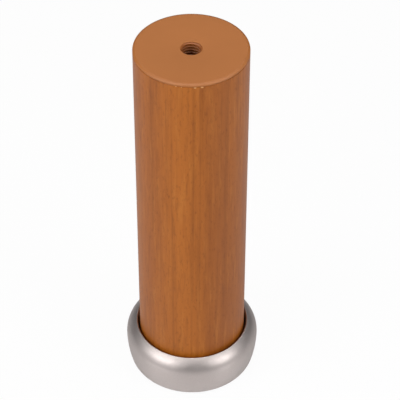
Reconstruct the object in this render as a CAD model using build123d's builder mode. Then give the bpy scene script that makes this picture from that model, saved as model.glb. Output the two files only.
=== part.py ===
from build123d import *
import math
import os

# Cylindrical furniture leg: a foil-wrapped tube, closed by two moulded plugs, that stands in a
# rounded metal foot. The foot's bolt screws into the lower plug and levels the furniture.
# Millimetres, +Z up. The origin is on the floor under the middle of the foot, and the foot is
# screwed right in.

# Leg
leg_diameter = 50.0
leg_height = 185.0
tube_wall = 2.5
seam_bevel = 0.2

# Screw thread in both plugs and on the levelling bolt, modelled as plain walls
thread_diameter = 10.0
thread_depth = 28.0
thread_clearance = 0.08
mouth_chamfer = 0.5

# Plugs
flange_thickness = 1.5
edge_rounding = 0.6
hidden_edge_bevel = 0.5
plug_clearance = 0.1
skirt_wall = 2.0
skirt_length = 18.0
skirt_lead_in = 1.0
deck_thickness = 3.0
boss_wall = 4.0
boss_end = 2.5
web_count = 6
web_thickness = 1.8
web_setback = 3.0

# Foot
foot_height = 22.0
mouth_clearance = 1.0
lip_bevel = 0.3
rim_width = 5.4
shoulder_width = 11.0
shoulder_drop = 7.8
base_tuck = 1.7
base_edge_bevel = 0.6
base_rim_width = 5.0
floor_thickness = 2.5

# Levelling bolt and the seat for its head
bolt_length = 30.0
bolt_tip_chamfer = 1.2
hexagon_sides = 6
head_flats = 17.0
head_height = 6.4
head_bevel_angle = 30.0
head_clearance = 0.15
head_cover = 3.0
head_wall = 2.5
bolt_hole_clearance = 0.25

# Well in the lower plug, which takes the boss over the bolt head
well_clearance = 0.5
well_headroom = 1.0
well_wall = 2.5

# Glide
glide_thickness = 3.0
glide_projection = 0.8
glide_clearance = 0.15
glide_edge_bevel = 0.5

# Radii that follow
leg_radius = leg_diameter / 2
tube_inner_radius = leg_radius - tube_wall
skirt_radius = tube_inner_radius - plug_clearance
skirt_inner_radius = skirt_radius - skirt_wall
thread_radius = thread_diameter / 2
boss_radius = thread_radius + boss_wall
bolt_radius = thread_radius - thread_clearance
bolt_hole_radius = thread_radius + bolt_hole_clearance
mouth_radius = leg_radius + mouth_clearance
lip_radius = mouth_radius + lip_bevel
foot_radius = mouth_radius + rim_width
base_radius = foot_radius - base_tuck
recess_radius = base_radius - base_rim_width
glide_radius = recess_radius - glide_clearance
head_apothem = head_flats / 2
pocket_apothem = head_apothem + head_clearance
corner_ratio = 1 / math.cos(math.pi / hexagon_sides)
head_corner_radius = head_apothem * corner_ratio
head_boss_radius = pocket_apothem * corner_ratio + head_wall
well_radius = head_boss_radius + well_clearance
well_outer_radius = well_radius + well_wall

# Heights that follow, from the floor up
base_z = glide_projection
recess_z = glide_thickness
floor_z = recess_z + floor_thickness
head_bevel_z = recess_z + (head_corner_radius - head_apothem) * math.tan(math.radians(head_bevel_angle))
head_top_z = recess_z + head_height
head_boss_z = head_top_z + head_cover
widest_z = foot_height - shoulder_drop
lower_seat_z = floor_z + flange_thickness
lower_deck_z = floor_z + deck_thickness
lower_skirt_z = floor_z + skirt_length
well_z = head_boss_z + well_headroom
well_top_z = well_z + deck_thickness
lower_boss_z = well_z + thread_depth + boss_end
upper_seat_z = leg_height - flange_thickness
upper_deck_z = leg_height - deck_thickness
upper_skirt_z = leg_height - skirt_length
upper_boss_z = leg_height - thread_depth - boss_end

# Shoulder of the foot: an arc of an ellipse, upright where the foot is widest
shoulder_turn = math.acos(1 - (rim_width - lip_bevel) / shoulder_width)
shoulder_height = shoulder_drop / math.sin(shoulder_turn)

# Rounded rim of the top plug, as two bevels that meet in the middle of the rounding
edge_middle = edge_rounding * (1 - math.sqrt(1 / 2))

# Webs stiffen the plugs, from the middle of the boss wall to the middle of the skirt wall
web_start = thread_radius + boss_wall / 2
web_end = skirt_radius - skirt_wall / 2
web_middle = (web_start + web_end) / 2
web_span = web_end - web_start
web_depth = skirt_length - deck_thickness - web_setback

# Tube, bevelled at both ends where the flanges of the plugs close on it
with BuildPart() as leg_tube:
    with BuildSketch(Plane.XY.offset(lower_seat_z)):
        Circle(leg_radius)
        Circle(tube_inner_radius, mode=Mode.SUBTRACT)
    extrude(amount=upper_seat_z - lower_seat_z)
    end_edges = leg_tube.edges().filter_by(GeomType.CIRCLE).group_by(SortBy.RADIUS)[-1]
    chamfer(end_edges, seam_bevel)

# Top plug: flange, skirt, webs and a boss whose thread is open to the mounting face
with BuildPart() as top_plug:
    with BuildSketch(Plane.XZ):
        with BuildLine():
            Polyline(
                (0, leg_height),
                (leg_radius - edge_rounding, leg_height),
                (leg_radius - edge_middle, leg_height - edge_middle),
                (leg_radius, leg_height - edge_rounding),
                (leg_radius, upper_seat_z + seam_bevel),
                (leg_radius - seam_bevel, upper_seat_z),
                (skirt_radius, upper_seat_z),
                (skirt_radius, upper_skirt_z + skirt_lead_in),
                (skirt_radius - skirt_lead_in, upper_skirt_z),
                (skirt_inner_radius, upper_skirt_z),
                (skirt_inner_radius, upper_deck_z),
                (boss_radius, upper_deck_z),
                (boss_radius, upper_boss_z),
                (0, upper_boss_z),
                close=True,
            )
        make_face()
    revolve(axis=Axis.Z)
    with BuildSketch(Plane.XY.offset(upper_deck_z)):
        with PolarLocations(web_middle, web_count):
            Rectangle(web_span, web_thickness)
    extrude(amount=-web_depth)
    with Locations((0, 0, leg_height)):
        Hole(thread_radius, thread_depth)
    chamfer(top_plug.edges().group_by(Axis.Z)[-1].sort_by(SortBy.RADIUS)[0], mouth_chamfer)

# Bottom plug: flange, skirt and webs as on the top plug, a well, and a thread boss above the well
with BuildPart() as bottom_plug:
    with BuildSketch(Plane.XZ):
        with BuildLine():
            Polyline(
                (0, floor_z),
                (leg_radius, floor_z),
                (leg_radius, lower_seat_z - seam_bevel),
                (leg_radius - seam_bevel, lower_seat_z),
                (skirt_radius, lower_seat_z),
                (skirt_radius, lower_skirt_z - skirt_lead_in),
                (skirt_radius - skirt_lead_in, lower_skirt_z),
                (skirt_inner_radius, lower_skirt_z),
                (skirt_inner_radius, lower_deck_z),
                (well_outer_radius, lower_deck_z),
                (well_outer_radius, well_top_z),
                (boss_radius, well_top_z),
                (boss_radius, lower_boss_z),
                (0, lower_boss_z),
                close=True,
            )
        make_face()
    revolve(axis=Axis.Z)
    with BuildSketch(Plane.XY.offset(lower_deck_z)):
        with PolarLocations(web_middle, web_count):
            Rectangle(web_span, web_thickness)
    extrude(amount=web_depth)
    with Locations(-Plane.XY.offset(floor_z)):
        Hole(well_radius, well_z - floor_z)
    with Locations(-Plane.XY.offset(well_z)):
        Hole(thread_radius, thread_depth)
    chamfer(bottom_plug.edges().group_by(Axis.Z)[0].sort_by(SortBy.RADIUS)[-1], hidden_edge_bevel)

# Foot cup: rounded shoulder, mouth round the leg, boss over the bolt head, recess for the glide
with BuildPart() as foot_cup:
    with BuildSketch(Plane.XZ):
        with BuildLine():
            EllipticalCenterArc(
                (foot_radius - shoulder_width, widest_z),
                shoulder_width,
                shoulder_height,
                arc_size=math.degrees(shoulder_turn),
            )
            side_end = (base_radius, base_z + base_edge_bevel)
            TangentArc((foot_radius, widest_z), side_end, tangent=(0, -1))
            Polyline(
                (lip_radius, foot_height),
                (mouth_radius, foot_height - lip_bevel),
                (mouth_radius, floor_z),
                (head_boss_radius, floor_z),
                (head_boss_radius, head_boss_z),
                (bolt_hole_radius, head_boss_z),
                (bolt_hole_radius, recess_z),
                (recess_radius, recess_z),
                (recess_radius, base_z),
                (base_radius - base_edge_bevel, base_z),
                side_end,
            )
        make_face()
    revolve(axis=Axis.Z)
    with BuildSketch(Plane.XY.offset(recess_z)):
        RegularPolygon(pocket_apothem, hexagon_sides, major_radius=False)
    extrude(amount=head_height, mode=Mode.SUBTRACT)

# Levelling bolt: hexagon head with its corners turned off, and a plain shank at the thread's size
with BuildPart() as levelling_bolt:
    with BuildSketch(Plane.XY.offset(recess_z)):
        RegularPolygon(head_apothem, hexagon_sides, major_radius=False)
    extrude(amount=head_height)
    with BuildSketch(Plane.XZ):
        with BuildLine():
            Polyline(
                (0, recess_z),
                (head_apothem, recess_z),
                (head_corner_radius, head_bevel_z),
                (head_corner_radius, head_top_z),
                (0, head_top_z),
                close=True,
            )
        make_face()
    revolve(axis=Axis.Z, mode=Mode.INTERSECT)
    with BuildSketch(Plane.XY.offset(head_top_z)):
        Circle(bolt_radius)
    extrude(amount=bolt_length)
    chamfer(levelling_bolt.edges().group_by(Axis.Z)[-1], bolt_tip_chamfer)

# Glide, pressed into the foot's recess under the bolt head
with BuildPart() as glide_pad:
    with BuildSketch():
        Circle(glide_radius)
    extrude(amount=glide_thickness)
    chamfer(glide_pad.edges().group_by(Axis.Z)[0], glide_edge_bevel)

pieces = {
    "leg_tube": leg_tube,
    "top_plug": top_plug,
    "bottom_plug": bottom_plug,
    "foot_cup": foot_cup,
    "levelling_bolt": levelling_bolt,
    "glide_pad": glide_pad,
}
os.makedirs("parts", exist_ok=True)
for name, piece in pieces.items():
    piece.part.label = name
    export_step(piece.part, f"parts/{name}.step")
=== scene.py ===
"""Dresses the cylindrical furniture leg: a wood-decor tube, moulded plugs and a satin nickel foot.

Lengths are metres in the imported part's own frame, +Z up, with the origin on the floor under the
middle of the foot. Pieces of the leg ride on the body "leg", and pieces of the foot on "foot".
"""

import logging
import math
from dataclasses import dataclass
from enum import Enum

import bmesh
import bpy
from mathutils import Matrix, Vector

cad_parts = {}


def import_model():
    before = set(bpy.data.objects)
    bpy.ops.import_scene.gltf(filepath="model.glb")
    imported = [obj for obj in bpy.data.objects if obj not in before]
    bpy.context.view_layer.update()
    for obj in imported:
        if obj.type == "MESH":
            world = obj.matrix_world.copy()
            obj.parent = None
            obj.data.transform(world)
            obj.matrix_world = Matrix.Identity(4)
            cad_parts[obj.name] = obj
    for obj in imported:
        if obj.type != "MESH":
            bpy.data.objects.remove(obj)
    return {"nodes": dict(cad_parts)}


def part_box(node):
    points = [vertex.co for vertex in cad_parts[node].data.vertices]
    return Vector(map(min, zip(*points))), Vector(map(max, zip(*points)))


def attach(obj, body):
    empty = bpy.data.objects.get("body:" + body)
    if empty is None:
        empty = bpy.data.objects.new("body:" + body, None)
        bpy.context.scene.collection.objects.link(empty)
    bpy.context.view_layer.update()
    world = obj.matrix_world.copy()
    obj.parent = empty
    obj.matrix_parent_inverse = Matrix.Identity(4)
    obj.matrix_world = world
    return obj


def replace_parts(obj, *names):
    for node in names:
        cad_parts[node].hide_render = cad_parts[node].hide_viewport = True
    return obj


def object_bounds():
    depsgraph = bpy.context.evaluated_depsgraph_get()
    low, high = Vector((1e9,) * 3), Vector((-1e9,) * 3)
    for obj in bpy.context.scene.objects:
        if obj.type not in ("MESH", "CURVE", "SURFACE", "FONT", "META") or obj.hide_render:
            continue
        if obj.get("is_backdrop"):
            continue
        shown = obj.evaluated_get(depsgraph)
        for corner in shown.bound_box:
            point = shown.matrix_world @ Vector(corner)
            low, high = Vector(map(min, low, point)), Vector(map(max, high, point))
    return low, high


LOG = logging.getLogger("furniture_leg")
MM = 0.001

# Turned meshes: faces round the axis, how near a vertex lies to its own ring, and the distance
# within which two vertices are merged
SEGMENTS = 256
RING_TOLERANCE = 0.004 * MM
MERGE_DISTANCE = 0.0004 * MM
HEXAGON_SIDES = 6

# Shading: the least crease that stays sharp, and the least upward part of a level face's normal
CREASE_ANGLE = math.radians(25)
FLAT_NORMAL = 0.9999

# Vertex attributes that the finishes read: where foil is chipped off, and where a mould was polished
CHIP_ATTRIBUTE = "chip"
POLISH_ATTRIBUTE = "polished"

# Fine noise on plastic and plating: its octaves, and the strength of its bump
FINE_OCTAVES = 2.0
FINE_RELIEF = 0.4

Point = tuple[float, float]
Colour = tuple[float, float, float, float]
Sockets = dict[str | int, bpy.types.NodeSocket | float | tuple[float, ...]]


class Body(Enum):
    """The two bodies that the levelling screw joins."""

    FOOT = "foot"
    LEG = "leg"


class Slot(Enum):
    """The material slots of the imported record."""

    FOIL = "wood_decor_foil"
    PLUG = "plug_plastic"
    NICKEL = "satin_nickel"
    GLIDE = "glide_plastic"


def linear(hex_colour: str) -> Colour:
    """Turns an sRGB hex colour into a linear one, by the sRGB standard's own curve.

    Args:
        hex_colour: Colour as "#rrggbb".

    Returns:
        Linear red, green and blue, and an alpha of 1.
    """
    shares = [int(hex_colour[at:at + 2], 16) / 255 for at in (1, 3, 5)]
    red, green, blue = (s / 12.92 if s <= 0.04045 else ((s + 0.055) / 1.055) ** 2.4 for s in shares)
    return red, green, blue, 1.0


def add_node(
    tree: bpy.types.NodeTree, kind: str, sockets: Sockets, **settings: str | bool,
) -> bpy.types.Node:
    """Adds a node to a tree, with its settings, its socket values and its links.

    Args:
        tree: Node tree that takes the node.
        kind: Blender's name for the node type.
        sockets: Value or output socket for each input, by the input's name or number.
        **settings: Properties of the node itself.

    Returns:
        The new node.
    """
    node = tree.nodes.new(kind)
    for name, value in settings.items():
        setattr(node, name, value)
    for key, value in sockets.items():
        if isinstance(value, bpy.types.NodeSocket):
            tree.links.new(value, node.inputs[key])
        else:
            node.inputs[key].default_value = value
    return node


def empty_material(name: str) -> tuple[bpy.types.Material, bpy.types.NodeTree]:
    """Makes a material with an empty node tree.

    Args:
        name: Name of the real finish.

    Returns:
        The material and its tree.
    """
    material = bpy.data.materials.new(name)
    material.use_nodes = True
    material.node_tree.nodes.clear()
    return material, material.node_tree


def arc(centre: Point, radii: Point, start: float, stop: float, steps: int) -> list[Point]:
    """Points along an arc of an ellipse in a turned profile.

    Args:
        centre: Radius and height of the ellipse's centre.
        radii: Half widths of the ellipse, outwards and upwards.
        start: First angle in degrees, from outwards towards upwards.
        stop: Last angle in degrees.
        steps: Number of steps between the first and the last point.

    Returns:
        Radius and height of each point.
    """
    angles = [math.radians(start + (stop - start) * step / steps) for step in range(steps + 1)]
    return [(centre[0] + radii[0] * math.cos(a), centre[1] + radii[1] * math.sin(a)) for a in angles]


def turned(profile: list[Point], closed: bool = False, segments: int = SEGMENTS) -> bmesh.types.BMesh:
    """Turns a profile about the leg's axis.

    Args:
        profile: Radius and height of each point.
        closed: Whether the last point joins the first.
        segments: Number of faces round the axis.

    Returns:
        A mesh whose seam and poles are merged and whose faces point outwards.
    """
    mesh = bmesh.new()
    verts = [mesh.verts.new((radius, 0, height)) for radius, height in profile]
    ends = verts[1:] + verts[:1] if closed else verts[1:]
    edges = [mesh.edges.new(pair) for pair in zip(verts, ends)]
    bmesh.ops.spin(
        mesh, geom=verts + edges, cent=(0, 0, 0), axis=(0, 0, 1), dvec=(0, 0, 0),
        angle=math.tau, steps=segments, use_merge=True,
    )
    bmesh.ops.remove_doubles(mesh, verts=mesh.verts, dist=MERGE_DISTANCE)
    bmesh.ops.recalc_face_normals(mesh, faces=mesh.faces)
    return mesh


def ring(mesh: bmesh.types.BMesh, radius: float, height: float) -> list[bmesh.types.BMEdge]:
    """Finds the edges of one ring of a turned mesh.

    Args:
        mesh: Turned mesh.
        radius: The ring's radius.
        height: The ring's height.

    Returns:
        The edges of that ring.
    """
    def on_ring(vert: bmesh.types.BMVert) -> bool:
        """Says whether a vertex lies on the ring."""
        return (abs(vert.co.xy.length - radius) < RING_TOLERANCE
                and abs(vert.co.z - height) < RING_TOLERANCE)

    return [edge for edge in mesh.edges if all(on_ring(vert) for vert in edge.verts)]


def round_ring(mesh: bmesh.types.BMesh, radius: float, height: float, size: float, steps: int) -> None:
    """Rounds the corner of a turned mesh at one ring.

    Args:
        mesh: Turned mesh.
        radius: The ring's radius.
        height: The ring's height.
        size: Distance from the corner at which the rounding starts and ends.
        steps: Number of faces across the rounding.
    """
    bmesh.ops.bevel(
        mesh, geom=ring(mesh, radius, height), offset=size, offset_type="OFFSET", segments=steps,
        profile=0.5, affect="EDGES", clamp_overlap=True, material=-1,
    )


def place(mesh: bmesh.types.BMesh, name: str, body: Body) -> bpy.types.Object:
    """Makes a piece of a finished mesh, shaded smooth apart from flats and creases.

    Args:
        mesh: Finished mesh in the part's frame, which this frees.
        name: Name of the piece.
        body: Body that the piece rides on.

    Returns:
        The new piece.
    """
    for face in mesh.faces:
        face.smooth = abs(face.normal.z) < FLAT_NORMAL
    data = bpy.data.meshes.new(name)
    mesh.to_mesh(data)
    mesh.free()
    data.set_sharp_from_angle(angle=CREASE_ANGLE)
    piece = bpy.data.objects.new(name, data)
    bpy.context.scene.collection.objects.link(piece)
    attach(piece, body.value)
    return piece


@dataclass(frozen=True)
class GrainLayer:
    """One layer drawn over those before it: printed grain, and in the first layer a broad band of painted
    shade.

    Attributes:
        ink: Colour of the layer.
        width: Usual width of a streak, round the tube.
        length: Usual length of a streak, along the tube.
        cover: Most that the layer covers, from 0 to 1.
        start: Noise level at which the layer begins to show.
        full: Noise level at which it covers most.
        offset: Place in the pattern, in streak lengths; it sets where the broad band of painted shade
            falls on the tube.
    """

    ink: str
    width: float
    length: float
    cover: float
    start: float
    full: float
    offset: float = 0.0


@dataclass(frozen=True)
class WoodDecorFoil:
    """Decor foil printed as cherry and wrapped round the tube: fine upright grain under a satin lacquer.

    The eye sees warm brown with thin darker and lighter streaks, a broad darker band of painted shade
    down one side, and a pale sheen near the outline.

    Attributes:
        ground: Colour under the printed grain.
        layers: Layers drawn over the ground: first a broad band of painted shade, then the grain from
            long streaks to short pores.
        octaves: Octaves of the noise that draws a layer.
        falloff: Strength of each octave as a share of the one before.
        core: Colour of the bare tube, where the foil is chipped off.
        chip_start: Share of a chip's depth at which the bare tube begins to show.
        chip_full: Share at which nothing else shows.
        roughness: Roughness of the lacquer.
        gloss: Strength of the clear reflection over the print.
        emboss: Depth of the pores, which are pressed where the last layer is printed.
        relief: Strength of that bump.
    """

    ground: str = "#b2651d"
    layers: tuple[GrainLayer, ...] = (
        # Broad darker band, placed by its offset: painted shade down one side of the tube
        GrainLayer("#9a5418", 18 * MM, 400 * MM, 0.8, 0.40, 0.62, offset=59.5),
        GrainLayer("#84450c", 1.6 * MM, 190 * MM, 0.42, 0.50, 0.70),
        GrainLayer("#c0762c", 1.6 * MM, 22 * MM, 0.45, 0.52, 0.72),
        GrainLayer("#7c3f09", 1.4 * MM, 14 * MM, 0.36, 0.52, 0.72),
        GrainLayer("#703606", 0.8 * MM, 2.5 * MM, 0.42, 0.55, 0.73),
    )
    octaves: float = 3.0
    falloff: float = 0.55
    core: str = "#d09a62"
    chip_start: float = 0.3
    chip_full: float = 0.6
    roughness: float = 0.42
    gloss: float = 0.28
    emboss: float = 0.02 * MM
    relief: float = 0.3

    def material(self) -> bpy.types.Material:
        """Makes the foil's material.

        Returns:
            The material, which shows chips where the piece has the chip attribute.
        """
        material, tree = empty_material("wood_decor_foil")
        place_on_tube = add_node(tree, "ShaderNodeTexCoord", {}).outputs["Object"]
        colour = linear(self.ground)
        for layer in self.layers:
            across, along = 1 / layer.width, 1 / layer.length
            stretched = add_node(tree, "ShaderNodeMapping", {
                "Vector": place_on_tube, "Scale": (across, across, along),
                "Location": (0, 0, layer.offset)})
            noise = add_node(tree, "ShaderNodeTexNoise", {
                "Vector": stretched.outputs[0], "Scale": 1.0, "Detail": self.octaves,
                "Roughness": self.falloff})
            share = add_node(tree, "ShaderNodeMapRange", {
                "Value": noise.outputs[0], "From Min": layer.start, "From Max": layer.full,
                "To Max": layer.cover})
            colour = add_node(tree, "ShaderNodeMix", {
                0: share.outputs[0], 6: colour, 7: linear(layer.ink)}, data_type="RGBA").outputs[2]
        pores = add_node(tree, "ShaderNodeBump", {
            "Strength": self.relief, "Distance": self.emboss, "Height": share.outputs[0]}, invert=True)
        chip = add_node(tree, "ShaderNodeAttribute", {}, attribute_name=CHIP_ATTRIBUTE)
        bare = add_node(tree, "ShaderNodeMapRange", {
            "Value": chip.outputs["Fac"], "From Min": self.chip_start, "From Max": self.chip_full})
        colour = add_node(tree, "ShaderNodeMix", {
            0: bare.outputs[0], 6: colour, 7: linear(self.core)}, data_type="RGBA").outputs[2]
        shader = add_node(tree, "ShaderNodeBsdfPrincipled", {
            "Base Color": colour, "Roughness": self.roughness, "Specular IOR Level": self.gloss,
            "Normal": pores.outputs[0]})
        add_node(tree, "ShaderNodeOutputMaterial", {"Surface": shader.outputs[0]})
        return material


@dataclass(frozen=True)
class MouldedPlastic:
    """Injection-moulded plastic with a fine spark-eroded face: one even colour and a soft sheen.

    Attributes:
        name: Name of the finish.
        colour: Colour of the plastic.
        mottle: Slightly different colour that the face drifts to.
        roughness: Roughness of the face.
        gloss: Strength of the clear reflection over the colour.
        polish: Roughness where the mould was polished, which an attribute of the piece marks, or None.
        cloud: Size of the drift from one colour to the other.
        grit: Size of the texture's grains, drawn coarser than the real ones so that they show.
        depth: Depth of the texture.
    """

    name: str
    colour: str
    mottle: str
    roughness: float
    gloss: float
    polish: float | None = None
    cloud: float = 12 * MM
    grit: float = 0.5 * MM
    depth: float = 0.01 * MM

    def material(self) -> bpy.types.Material:
        """Makes the plastic's material.

        Returns:
            The material.
        """
        material, tree = empty_material(self.name)
        place_on_piece = add_node(tree, "ShaderNodeTexCoord", {}).outputs["Object"]
        drift = add_node(tree, "ShaderNodeTexNoise", {
            "Vector": place_on_piece, "Scale": 1 / self.cloud, "Detail": FINE_OCTAVES})
        grains = add_node(tree, "ShaderNodeTexNoise", {
            "Vector": place_on_piece, "Scale": 1 / self.grit, "Detail": FINE_OCTAVES})
        colour = add_node(tree, "ShaderNodeMix", {
            0: drift.outputs[0], 6: linear(self.colour), 7: linear(self.mottle)}, data_type="RGBA")
        relief = add_node(tree, "ShaderNodeBump", {
            "Strength": FINE_RELIEF, "Distance": self.depth, "Height": grains.outputs[0]})
        dullness = self.roughness
        if self.polish is not None:
            polished = add_node(tree, "ShaderNodeAttribute", {}, attribute_name=POLISH_ATTRIBUTE)
            dullness = add_node(tree, "ShaderNodeMapRange", {
                "Value": polished.outputs["Fac"], "To Min": self.roughness,
                "To Max": self.polish}).outputs[0]
        shader = add_node(tree, "ShaderNodeBsdfPrincipled", {
            "Base Color": colour.outputs[2], "Roughness": dullness,
            "Specular IOR Level": self.gloss, "Normal": relief.outputs[0]})
        add_node(tree, "ShaderNodeOutputMaterial", {"Surface": shader.outputs[0]})
        return material


@dataclass(frozen=True)
class PlatedMetal:
    """Plated metal with a fine blasted face: soft, wide highlights and no brush lines.

    Attributes:
        name: Name of the finish.
        colour: Reflected colour of the plating.
        roughness: Roughness of the face.
        spread: How far the roughness drifts up from there.
        drift_start: Noise level at which that drift starts.
        drift_end: Noise level at which it ends.
        grit: Size of the blasted dents, drawn coarser than the real ones so that they show.
        depth: Depth of the dents.
    """

    name: str
    colour: str
    roughness: float
    spread: float
    drift_start: float = 0.35
    drift_end: float = 0.65
    grit: float = 0.35 * MM
    depth: float = 0.004 * MM

    def material(self) -> bpy.types.Material:
        """Makes the plated material.

        Returns:
            The material.
        """
        material, tree = empty_material(self.name)
        place_on_piece = add_node(tree, "ShaderNodeTexCoord", {}).outputs["Object"]
        dents = add_node(tree, "ShaderNodeTexNoise", {
            "Vector": place_on_piece, "Scale": 1 / self.grit, "Detail": FINE_OCTAVES})
        dullness = add_node(tree, "ShaderNodeMapRange", {
            "Value": dents.outputs[0], "From Min": self.drift_start, "From Max": self.drift_end,
            "To Min": self.roughness, "To Max": self.roughness + self.spread})
        relief = add_node(tree, "ShaderNodeBump", {
            "Strength": FINE_RELIEF, "Distance": self.depth, "Height": dents.outputs[0]})
        shader = add_node(tree, "ShaderNodeBsdfPrincipled", {
            "Base Color": linear(self.colour), "Metallic": 1.0, "Roughness": dullness.outputs[0],
            "Normal": relief.outputs[0]})
        add_node(tree, "ShaderNodeOutputMaterial", {"Surface": shader.outputs[0]})
        return material


@dataclass(frozen=True)
class Finishes:
    """The finishes of the leg and the foot."""

    # Printed cherry under lacquer: warm brown, fine upright streaks, a broad band of painted shade down
    # one side, a pale sheen near the outline
    foil: WoodDecorFoil = WoodDecorFoil()
    # ABS from a dull mould with a polished rim: an even brown face and a bright line along its edge
    plug: MouldedPlastic = MouldedPlastic("moulded_brown_abs", "#ac6b38", "#a86836", 0.8, 0.4, 0.38)
    # The same ABS in a deeper brown, which is painted shade inside the bore, and shinier, so each turn
    # has a light and a dark side
    thread: MouldedPlastic = MouldedPlastic("tapped_abs_painted_shade", "#9e5a26", "#93511f", 0.42, 0.5)
    # Nickel plated over a blasted face: a warm grey with two soft highlights and no mirror image
    nickel: PlatedMetal = PlatedMetal("satin_nickel_plating", "#c8bfbc", 0.38, 0.22)
    # Zinc plated steel: a cooler, brighter grey
    zinc: PlatedMetal = PlatedMetal("zinc_plated_steel", "#c3c6ca", 0.32, 0.12)
    # Polyethylene: nearly black, with a dull sheen
    glide: MouldedPlastic = MouldedPlastic("moulded_black_pe", "#1c1c1d", "#242426", 0.5, 0.4)


@dataclass(frozen=True)
class EdgeChip:
    """A chip in the foil at the tube's upper edge, where the pale core shows.

    Attributes:
        azimuth: Degrees from the camera's side of the leg towards the right.
        width: Width of the chip, round the tube.
        height: Height of the chip, down from the edge.
        depth: Depth of the chip.
    """

    azimuth: float
    width: float
    height: float
    depth: float = 0.12 * MM

    def share(self, azimuth: float, drop: float, radius: float) -> float:
        """Says how much of the chip's depth a point on the tube takes.

        Args:
            azimuth: Degrees from the camera's side to the point.
            drop: Distance from the tube's upper edge down to the point.
            radius: Radius of the tube.

        Returns:
            1 in the middle of the chip, falling to 0 at its outline.
        """
        across = math.radians(azimuth - self.azimuth) * radius / (self.width / 2)
        return max(0.0, 1 - across ** 2 - (drop / self.height) ** 2)


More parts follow.
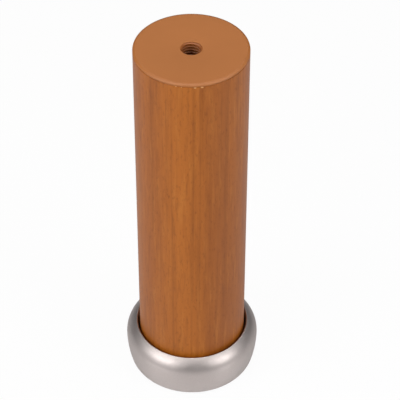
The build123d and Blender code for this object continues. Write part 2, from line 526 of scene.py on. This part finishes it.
@dataclass(frozen=True)
class WrappedLeg:
    """The tube, its upper plug and the screw thread in it.

    Attributes:
        radius: Radius of the tube's outside.
        tube_bottom: Height of the tube's lower end.
        tube_top: Height of the tube's upper end.
        plug_bottom: Height of the end of the plug's boss.
        top: Height of the plug's upper face.
        wall: Wall of the tube.
        tube_bevel: Bevel at the tube's ends.
        undercut_height: Height of the bevel under the plug's flange, which shades the seam.
        undercut_depth: Depth of that bevel.
        chips: Chips in the foil at the tube's upper edge.
        chip_step: Size of the tube's faces where it is chipped.
        rim_width: Width of the bevel round the plug's face.
        rim_drop: Drop of that bevel.
        rim_rounding: Rounding of the bevel's two edges.
        rim_steps: Faces across such a rounding.
        rim_border: Width of the flat beside the bevel, within which the rim's polish fades.
        plug_clearance: Gap between the tube and the plug's skirt.
        skirt_wall: Wall of the skirt.
        skirt_length: Length of the skirt, from the plug's face down.
        lead_in: Bevel at the skirt's end.
        deck: Thickness of the plug's face.
        boss_radius: Radius of the boss round the thread.
        boss_end: Thickness of the boss below the thread.
        web_count: Number of webs between boss and skirt.
        web_thickness: Thickness of a web.
        web_setback: How far a web stops short of the skirt's end.
        bore: Radius of the thread at its roots.
        mouth: Radius of the bore's mouth.
        mouth_land: Height of the mouth's upright wall, with its rounding.
        mouth_taper: Height in which the bore narrows to the mouth.
        mouth_rounding: Rounding of the mouth's edge.
        mouth_steps: Faces across that rounding.
        pitch: Height of one turn of the thread.
        crest_radius: Radius of the thread at its crests.
        crest_flat: Width of a crest, a quarter of the pitch.
        flank_angle: Degrees from level to a flank of the thread.
        ridge_root: How far the thread's ridge is sunk into the wall of the bore.
        steps_per_turn: Faces along one turn of the ridge.
    """

    radius: float
    tube_bottom: float
    tube_top: float
    plug_bottom: float
    top: float
    wall: float = 2.5 * MM
    tube_bevel: float = 0.08 * MM
    undercut_height: float = 0.35 * MM
    undercut_depth: float = 0.25 * MM
    chips: tuple[EdgeChip, ...] = (
        EdgeChip(3.5, 1.5 * MM, 0.75 * MM),
        EdgeChip(10.2, 1.7 * MM, 0.75 * MM),
        EdgeChip(-9.5, 0.7 * MM, 0.35 * MM),
        EdgeChip(-15.0, 0.9 * MM, 0.35 * MM),
    )
    chip_step: float = 0.2 * MM
    rim_width: float = 1.1 * MM
    rim_drop: float = 0.5 * MM
    rim_rounding: float = 0.15 * MM
    rim_steps: int = 3
    rim_border: float = 0.3 * MM
    plug_clearance: float = 0.1 * MM
    skirt_wall: float = 2 * MM
    skirt_length: float = 18 * MM
    lead_in: float = 1 * MM
    deck: float = 3 * MM
    boss_radius: float = 9 * MM
    boss_end: float = 2.5 * MM
    web_count: int = 6
    web_thickness: float = 1.8 * MM
    web_setback: float = 3 * MM
    bore: float = 5 * MM
    mouth: float = 4.65 * MM
    mouth_land: float = 0.45 * MM
    mouth_taper: float = 0.45 * MM
    mouth_rounding: float = 0.3 * MM
    mouth_steps: int = 4
    pitch: float = 1.5 * MM
    crest_radius: float = 4.19 * MM
    crest_flat: float = 0.375 * MM
    flank_angle: float = 30.0
    ridge_root: float = 0.1 * MM
    steps_per_turn: int = 64

    @classmethod
    def from_frame(cls) -> "WrappedLeg":
        """Reads the leg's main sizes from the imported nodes.

        Returns:
            The leg at its packed size.
        """
        tube_low, tube_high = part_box("leg_tube")
        plug_low, plug_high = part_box("top_plug")
        return cls(tube_high.x, tube_low.z, tube_high.z, plug_low.z, plug_high.z)

    def build_tube(self) -> bpy.types.Object:
        """Turns the tube, with a bevel at each end where a plug closes on it, and chips its upper edge.

        Returns:
            The tube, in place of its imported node.
        """
        inner = self.radius - self.wall
        neck = self.radius - self.tube_bevel
        edge = self.tube_top - self.tube_bevel
        chip_rings = math.ceil(max(chip.height for chip in self.chips) / self.chip_step)
        mesh = turned([
            (inner, self.tube_bottom),
            (neck, self.tube_bottom),
            (self.radius, self.tube_bottom + self.tube_bevel),
            *[(self.radius, edge - self.chip_step * step) for step in range(chip_rings, -1, -1)],
            (neck, self.tube_top),
            (inner, self.tube_top),
        ], closed=True, segments=round(math.tau * self.radius / self.chip_step))
        self.chip_edge(mesh, inner)
        piece = place(mesh, "wrapped_tube", Body.LEG)
        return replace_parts(piece, "leg_tube")

    def chip_edge(self, mesh: bmesh.types.BMesh, inner: float) -> None:
        """Sinks the chips into the tube's outside, and marks them with an attribute.

        Args:
            mesh: The turned tube.
            inner: Radius of the tube's inside, which stays whole.
        """
        layer = mesh.verts.layers.float.new(CHIP_ATTRIBUTE)
        for vert in mesh.verts:
            radius = vert.co.xy.length
            azimuth = math.degrees(math.atan2(vert.co.x, -vert.co.y))
            shares = [chip.share(azimuth, self.tube_top - vert.co.z, self.radius) for chip in self.chips]
            if radius > inner + RING_TOLERANCE and any(shares):
                depth = max(share * chip.depth for share, chip in zip(shares, self.chips))
                vert.co.xy *= (radius - depth) / radius
                vert[layer] = max(shares)

    def build_plug(self) -> bpy.types.Object:
        """Turns the upper plug, rounds its rim and the mouth of its bore, and adds the webs.

        Returns:
            The plug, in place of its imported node.
        """
        skirt = self.radius - self.wall - self.plug_clearance
        skirt_inner = skirt - self.skirt_wall
        skirt_end = self.top - self.skirt_length
        deck_z = self.top - self.deck
        bore_end = self.plug_bottom + self.boss_end
        face_radius = self.radius - self.rim_width
        mesh = turned([
            (0, bore_end),
            (self.bore, bore_end),
            (self.bore, self.top - self.mouth_land - self.mouth_taper),
            (self.mouth, self.top - self.mouth_land),
            (self.mouth, self.top),
            (face_radius - self.rim_border, self.top),
            (face_radius, self.top),
            (self.radius, self.top - self.rim_drop),
            (self.radius, self.tube_top + self.undercut_height),
            (self.radius - self.undercut_depth, self.tube_top),
            (skirt, self.tube_top),
            (skirt, skirt_end + self.lead_in),
            (skirt - self.lead_in, skirt_end),
            (skirt_inner, skirt_end),
            (skirt_inner, deck_z),
            (self.boss_radius, deck_z),
            (self.boss_radius, self.plug_bottom),
            (0, self.plug_bottom),
        ])
        round_ring(mesh, face_radius, self.top, self.rim_rounding, self.rim_steps)
        round_ring(mesh, self.radius, self.top - self.rim_drop, self.rim_rounding, self.rim_steps)
        round_ring(mesh, self.mouth, self.top, self.mouth_rounding, self.mouth_steps)
        self.mark_rim(mesh, face_radius)
        self.add_webs(mesh, skirt)
        piece = place(mesh, "upper_plug", Body.LEG)
        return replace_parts(piece, "top_plug")

    def mark_rim(self, mesh: bmesh.types.BMesh, face_radius: float) -> None:
        """Marks the plug's rim as polished with an attribute.

        Args:
            mesh: The turned plug.
            face_radius: Radius of the plug's level face.
        """
        layer = mesh.verts.layers.float.new(POLISH_ATTRIBUTE)
        rim_inner = face_radius - self.rim_rounding - RING_TOLERANCE
        rim_low = self.top - self.rim_drop - self.rim_rounding - RING_TOLERANCE
        for vert in mesh.verts:
            vert[layer] = float(vert.co.xy.length > rim_inner and vert.co.z > rim_low)

    def add_webs(self, mesh: bmesh.types.BMesh, skirt: float) -> None:
        """Adds the webs between boss and skirt, sunk half a wall into what they join.

        Args:
            mesh: The turned plug.
            skirt: Outer radius of the skirt.
        """
        start = self.boss_radius - self.skirt_wall / 2
        end = skirt - self.skirt_wall / 2
        low = self.top - self.skirt_length + self.web_setback
        high = self.top - self.deck / 2
        size = Matrix.Diagonal((end - start, self.web_thickness, high - low, 1))
        middle = Matrix.Translation(((start + end) / 2, 0, (low + high) / 2))
        for number in range(self.web_count):
            turn = Matrix.Rotation(math.tau * number / self.web_count, 4, "Z")
            bmesh.ops.create_cube(mesh, size=1, matrix=turn @ middle @ size)

    def build_thread(self) -> bpy.types.Object:
        """Winds the thread's ridge down the bore, cut back by a cone under the mouth.

        Returns:
            The ridge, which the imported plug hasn't got.
        """
        crest_half = self.crest_flat / 2
        flank = math.tan(math.radians(self.flank_angle))
        root = self.bore + self.ridge_root
        root_half = crest_half + (root - self.crest_radius) * flank
        start = self.top - self.ridge_root - root_half
        turns_that_fit = int((start - self.plug_bottom - self.boss_end) / self.pitch)
        turns = turns_that_fit - 1
        mesh = bmesh.new()
        section = [(root, root_half), (self.crest_radius, crest_half),
                   (self.crest_radius, -crest_half), (root, -root_half)]
        verts = [mesh.verts.new((-radius, 0, start + height)) for radius, height in section]
        face = mesh.faces.new(verts)
        bmesh.ops.spin(
            mesh, geom=[face, *face.edges, *verts], cent=(0, 0, 0), axis=(0, 0, 1),
            dvec=(0, 0, -self.pitch / self.steps_per_turn), angle=-math.tau * turns,
            steps=turns * self.steps_per_turn,
        )
        for vert in mesh.verts:
            radius = vert.co.xy.length
            cone = self.mouth + self.ridge_root - (self.top - vert.co.z)
            vert.co.xy *= max(radius, cone) / radius
        bmesh.ops.recalc_face_normals(mesh, faces=mesh.faces)
        return place(mesh, "upper_thread", Body.LEG)

    def dress(self, finishes: Finishes, lower_plug: bpy.types.Object) -> list[bpy.types.Object]:
        """Builds the leg's pieces and gives them their finishes.

        Args:
            finishes: The finishes of the part.
            lower_plug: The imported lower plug, which stays as it is inside the tube.

        Returns:
            The leg's pieces.
        """
        plastic = finishes.plug.material()
        tube = self.build_tube()
        tube.data.materials.append(finishes.foil.material())
        thread = self.build_thread()
        thread.data.materials.append(finishes.thread.material())
        moulded = [self.build_plug(), lower_plug]
        for piece in moulded:
            piece.data.materials.clear()
            piece.data.materials.append(plastic)
        return [tube, thread, *moulded]


@dataclass(frozen=True)
class LevellingFoot:
    """The foot cup, the glide under it and the levelling bolt.

    Attributes:
        radius: Radius of the cup at its widest.
        base: Height of the cup's underside.
        height: Height of the cup's mouth.
        glide_radius: Radius of the glide.
        glide_top: Height of the glide's upper face.
        floor_z: Height of the cup's floor, on which the leg stands.
        rim_width: Width of the cup's rim, from its mouth to its widest.
        lip: Bevel at the mouth's edge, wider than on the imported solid, to suit the photograph.
        lip_steps: Faces across a rounding of the lip.
        edge_share: Rounding of a bevel's two edges, as a share of the bevel.
        shoulder_width: Half width of the ellipse that the shoulder follows.
        shoulder_drop: Height from the cup's widest to its mouth.
        shoulder_steps: Faces across the shoulder.
        base_tuck: How far the side draws in towards the base.
        side_steps: Faces across the side.
        base_rim: Width of the metal round the glide.
        base_bevel: Bevel at the base's outer edge.
        base_steps: Faces across a rounding of that bevel.
        head_pocket: Half the width across the flats of the bolt head's pocket.
        head_wall: Wall round the pocket's corners.
        head_height: Height of the pocket.
        head_cover: Thickness over the pocket.
        bolt_hole: Radius of the hole for the bolt's shank.
        glide_chamfer: Chamfer at the glide's lower edge.
    """

    radius: float
    base: float
    height: float
    glide_radius: float
    glide_top: float
    floor_z: float
    rim_width: float = 5.4 * MM
    lip: float = 0.55 * MM
    lip_steps: int = 3
    edge_share: float = 1 / 3
    shoulder_width: float = 11 * MM
    shoulder_drop: float = 7.8 * MM
    shoulder_steps: int = 28
    base_tuck: float = 1.7 * MM
    side_steps: int = 14
    base_rim: float = 5 * MM
    base_bevel: float = 0.6 * MM
    base_steps: int = 4
    head_pocket: float = 8.65 * MM
    head_wall: float = 2.5 * MM
    head_height: float = 6.4 * MM
    head_cover: float = 3 * MM
    bolt_hole: float = 5.25 * MM
    glide_chamfer: float = 0.5 * MM

    @classmethod
    def from_frame(cls) -> "LevellingFoot":
        """Reads the foot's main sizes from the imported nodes.

        Returns:
            The foot at its packed size.
        """
        cup_low, cup_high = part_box("foot_cup")
        glide_low, glide_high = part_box("glide_pad")
        plug_low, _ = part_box("bottom_plug")
        return cls(
            min(cup_high.x, -cup_low.x), cup_low.z, cup_high.z,
            min(glide_high.x, -glide_low.x), glide_high.z, plug_low.z)

    def build_cup(self) -> bpy.types.Object:
        """Turns the cup's rounded section, then closes its underside round the hexagonal pocket.

        Returns:
            The cup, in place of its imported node.
        """
        mouth = self.radius - self.rim_width
        widest = self.height - self.shoulder_drop
        base_radius = self.radius - self.base_tuck
        base_flat = base_radius - self.base_bevel
        recess = base_radius - self.base_rim
        shoulder_turn = math.acos(1 - (self.rim_width - self.lip) / self.shoulder_width)
        shoulder = (self.shoulder_width, self.shoulder_drop / math.sin(shoulder_turn))
        side_end = self.base + self.base_bevel
        drop = widest - side_end
        side = (self.base_tuck ** 2 + drop ** 2) / (2 * self.base_tuck)
        side_turn = math.asin(drop / side)
        corner = self.head_pocket / math.cos(math.pi / HEXAGON_SIDES)
        boss = corner + self.head_wall
        pocket_top = self.glide_top + self.head_height
        boss_top = pocket_top + self.head_cover
        mesh = turned([
            (self.bolt_hole, pocket_top),
            (self.bolt_hole, boss_top),
            (boss, boss_top),
            (boss, self.floor_z),
            (mouth, self.floor_z),
            (mouth, self.height - self.lip),
            *arc((self.radius - shoulder[0], widest), shoulder, math.degrees(shoulder_turn), 0,
                 self.shoulder_steps),
            *arc((self.radius - side, widest), (side, side), 0, -math.degrees(side_turn),
                 self.side_steps)[1:],
            (base_flat, self.base),
            (recess, self.base),
            (recess, self.glide_top),
        ])
        lip_rounding = self.lip * self.edge_share
        base_rounding = self.base_bevel * self.edge_share
        round_ring(mesh, mouth, self.height - self.lip, lip_rounding, self.lip_steps)
        round_ring(mesh, mouth + self.lip, self.height, lip_rounding, self.lip_steps)
        round_ring(mesh, base_radius, side_end, base_rounding, self.base_steps)
        round_ring(mesh, base_flat, self.base, base_rounding, self.base_steps)
        self.add_pocket(mesh, corner, recess)
        piece = place(mesh, "satin_foot", Body.FOOT)
        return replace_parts(piece, "foot_cup")

    def add_pocket(self, mesh: bmesh.types.BMesh, corner: float, recess: float) -> None:
        """Closes the cup's underside with the hexagonal pocket of the bolt head.

        Args:
            mesh: The turned cup, open from the glide's recess to the bolt's hole.
            corner: Distance from the axis to the pocket's corners.
            recess: Radius of the glide's recess.
        """
        angles = [math.tau * number / HEXAGON_SIDES for number in range(HEXAGON_SIDES)]
        corners = [
            mesh.verts.new((corner * math.cos(angle), corner * math.sin(angle), self.glide_top))
            for angle in angles]
        before = corners[-1:] + corners[:-1]
        lower_hexagon = [mesh.edges.new(pair) for pair in zip(before, corners)]
        walls = bmesh.ops.extrude_edge_only(mesh, edges=lower_hexagon)["geom"]
        upper = [item for item in walls if isinstance(item, bmesh.types.BMVert)]
        upper_hexagon = [
            item for item in walls
            if isinstance(item, bmesh.types.BMEdge) and all(vert in upper for vert in item.verts)]
        bmesh.ops.translate(mesh, verts=upper, vec=(0, 0, self.head_height))
        recess_edge = ring(mesh, recess, self.glide_top)
        hole_edge = ring(mesh, self.bolt_hole, self.glide_top + self.head_height)
        for boundary in (recess_edge + lower_hexagon, hole_edge + upper_hexagon):
            bmesh.ops.triangle_fill(mesh, use_beauty=True, edges=boundary)
        bmesh.ops.recalc_face_normals(mesh, faces=mesh.faces)

    def build_glide(self) -> bpy.types.Object:
        """Turns the glide, with its lower edge broken.

        Returns:
            The glide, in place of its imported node.
        """
        mesh = turned([
            (0, 0),
            (self.glide_radius - self.glide_chamfer, 0),
            (self.glide_radius, self.glide_chamfer),
            (self.glide_radius, self.glide_top),
            (0, self.glide_top),
        ])
        piece = place(mesh, "glide_disc", Body.FOOT)
        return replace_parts(piece, "glide_pad")

    def dress(self, finishes: Finishes, bolt: bpy.types.Object) -> list[bpy.types.Object]:
        """Builds the foot's pieces and gives them their finishes.

        Args:
            finishes: The finishes of the part.
            bolt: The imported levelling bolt, which stays as it is inside the leg.

        Returns:
            The foot's pieces.
        """
        dressed = {
            self.build_cup(): finishes.nickel,
            self.build_glide(): finishes.glide,
            bolt: finishes.zinc,
        }
        for piece, finish in dressed.items():
            piece.data.materials.clear()
            piece.data.materials.append(finish.material())
        return list(dressed)


@dataclass(frozen=True)
class Softbox:
    """A studio lamp that faces the leg.

    Attributes:
        name: Name of the lamp.
        azimuth: Degrees from the camera's side of the leg towards the right.
        elevation: Degrees above the leg's middle.
        width: Width of the lamp.
        height: Height of the lamp.
        power: Power in watts.
        distance: Distance from the leg to the lamp.
    """

    name: str
    azimuth: float
    elevation: float
    width: float
    height: float
    power: float
    distance: float = 1.2

    def hang(self, target: Vector) -> bpy.types.Object:
        """Hangs the lamp.

        Args:
            target: Point that the lamp faces.

        Returns:
            The lamp.
        """
        data = bpy.data.lights.new(self.name, "AREA")
        data.shape = "RECTANGLE"
        data.size = self.width
        data.size_y = self.height
        data.energy = self.power
        lamp = bpy.data.objects.new(self.name, data)
        azimuth, elevation = math.radians(self.azimuth), math.radians(self.elevation)
        level = math.cos(elevation)
        away = Vector((math.sin(azimuth) * level, -math.cos(azimuth) * level, math.sin(elevation)))
        lamp.location = target + away * self.distance
        lamp.rotation_mode = "QUATERNION"
        lamp.rotation_quaternion = away.to_track_quat("Z", "Y")
        lamp.visible_camera = False
        bpy.context.scene.collection.objects.link(lamp)
        return lamp


@dataclass(frozen=True)
class Studio:
    """White floor, dim even surroundings, soft lamps and a camera that looks down on the leg.

    Attributes:
        floor_radius: Radius of the floor.
        floor_segments: Number of the floor's edges.
        floor_colour: Colour of the floor under its glow.
        floor_roughness: Roughness of the floor.
        floor_ior: Refractive index of the floor.
        floor_glow: Share of white glow that the camera sees on the floor.
        mirrored_glow: Share of it that mirrors and glass show.
        surroundings: Level of the light from all round.
        softboxes: The lamps.
        camera_place: Place of the camera.
        camera_pitch: Degrees that the camera looks down.
        camera_yaw: Degrees that it looks to the right.
        camera_roll: Degrees that it leans.
        lens: Focal length in millimetres.
        sensor: Width of the camera's sensor in millimetres.
    """

    floor_radius: float = 2.0
    floor_segments: int = 96
    floor_colour: str = "#eaeaea"
    floor_roughness: float = 0.2
    floor_ior: float = 1.8
    floor_glow: float = 0.95
    mirrored_glow: float = 0.06
    surroundings: float = 0.06
    softboxes: tuple[Softbox, ...] = (
        Softbox("softbox_left", -52, 29.5, 0.9, 0.8, 8.9),
        Softbox("softbox_right", 54, 28.5, 0.53, 0.8, 6.8),
        Softbox("softbox_high_left", -83, 64, 0.7, 0.6, 2.8),
        Softbox("softbox_high_right", 100, 62, 0.6, 0.6, 2.3),
        Softbox("softbox_behind", 180, 50, 0.8, 0.6, 1.4),
        Softbox("softbox_above", 0, 80, 0.6, 0.4, 2.6),
    )
    camera_place: tuple[float, float, float] = (0.0, -0.6154, 0.65586)
    camera_pitch: float = 42.171
    camera_yaw: float = 0.352
    camera_roll: float = 0.118
    lens: float = 164.61
    sensor: float = 36.0

    def build_floor(self) -> bpy.types.Object:
        """Lays a round floor that shows white and keeps part of the leg's shadow.

        Returns:
            The floor.
        """
        mesh = bmesh.new()
        bmesh.ops.create_circle(
            mesh, cap_ends=True, segments=self.floor_segments, radius=self.floor_radius)
        data = bpy.data.meshes.new("studio_floor")
        mesh.to_mesh(data)
        mesh.free()
        data.materials.append(self.floor_material())
        floor = bpy.data.objects.new("studio_floor", data)
        bpy.context.scene.collection.objects.link(floor)
        floor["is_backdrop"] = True
        return floor

    def floor_material(self) -> bpy.types.Material:
        """Makes the floor's material: a white sheet that glows for the camera and in mirrors.

        Returns:
            The material.
        """
        material, tree = empty_material("white_acrylic_sheet")
        path = add_node(tree, "ShaderNodeLightPath", {}).outputs
        mirrored = add_node(tree, "ShaderNodeMath", {
            0: path["Is Glossy Ray"], 1: path["Is Transmission Ray"]}, operation="MAXIMUM")
        dimmed = add_node(tree, "ShaderNodeMath", {
            0: mirrored.outputs[0], 1: self.mirrored_glow}, operation="MULTIPLY")
        share = add_node(tree, "ShaderNodeMath", {
            0: path["Is Camera Ray"], 1: self.floor_glow, 2: dimmed.outputs[0]}, operation="MULTIPLY_ADD")
        sheet = add_node(tree, "ShaderNodeBsdfPrincipled", {
            "Base Color": linear(self.floor_colour), "Roughness": self.floor_roughness,
            "IOR": self.floor_ior})
        glow = add_node(tree, "ShaderNodeEmission", {"Strength": 1.0})
        mixed = add_node(tree, "ShaderNodeMixShader", {
            0: share.outputs[0], 1: sheet.outputs[0], 2: glow.outputs[0]})
        add_node(tree, "ShaderNodeOutputMaterial", {"Surface": mixed.outputs[0]})
        return material

    def build_surroundings(self) -> None:
        """Makes the world one dim grey all round."""
        world = bpy.data.worlds.new("studio_surroundings")
        world.use_nodes = True
        tree = world.node_tree
        tree.nodes.clear()
        light = add_node(tree, "ShaderNodeBackground", {"Strength": self.surroundings})
        add_node(tree, "ShaderNodeOutputWorld", {"Surface": light.outputs[0]})
        bpy.context.scene.world = world

    def build_camera(self) -> bpy.types.Object:
        """Stands the camera at the photograph's viewing angle.

        Returns:
            The camera.
        """
        pitch = math.radians(self.camera_pitch)
        yaw = math.radians(self.camera_yaw)
        roll = math.radians(self.camera_roll)
        level = math.cos(pitch)
        forward = Vector((math.sin(yaw) * level, math.cos(yaw) * level, -math.sin(pitch)))
        right = forward.cross(Vector((0, 0, 1))).normalized()
        up = right.cross(forward)
        rolled_right = right * math.cos(roll) + up * math.sin(roll)
        rolled_up = up * math.cos(roll) - right * math.sin(roll)
        turn = Matrix((rolled_right, rolled_up, -forward)).transposed()
        data = bpy.data.cameras.new("photo_camera")
        data.lens = self.lens
        data.sensor_width = self.sensor
        camera = bpy.data.objects.new("photo_camera", data)
        camera.matrix_world = Matrix.Translation(self.camera_place) @ turn.to_4x4()
        bpy.context.scene.collection.objects.link(camera)
        bpy.context.scene.camera = camera
        return camera

    def build(self, target: Vector) -> None:
        """Builds the studio round the leg.

        Args:
            target: Point that the lamps face.
        """
        self.build_floor()
        self.build_surroundings()
        for softbox in self.softboxes:
            softbox.hang(target)
        self.build_camera()
        bpy.context.scene.view_settings.view_transform = "Standard"


def main() -> None:
    """Dresses the leg and its foot, then builds the studio."""
    logging.basicConfig(level=logging.INFO, format="%(message)s")
    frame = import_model()
    cad_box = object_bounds()
    nodes = frame["nodes"]
    finishes = Finishes()
    pieces = WrappedLeg.from_frame().dress(finishes, nodes["bottom_plug"])
    pieces += LevellingFoot.from_frame().dress(finishes, nodes["levelling_bolt"])
    for piece in pieces:
        LOG.info("%s: %d faces", piece.name, len(piece.data.polygons))
    Studio().build((cad_box[0] + cad_box[1]) / 2)


if __name__ == "__main__":
    main()
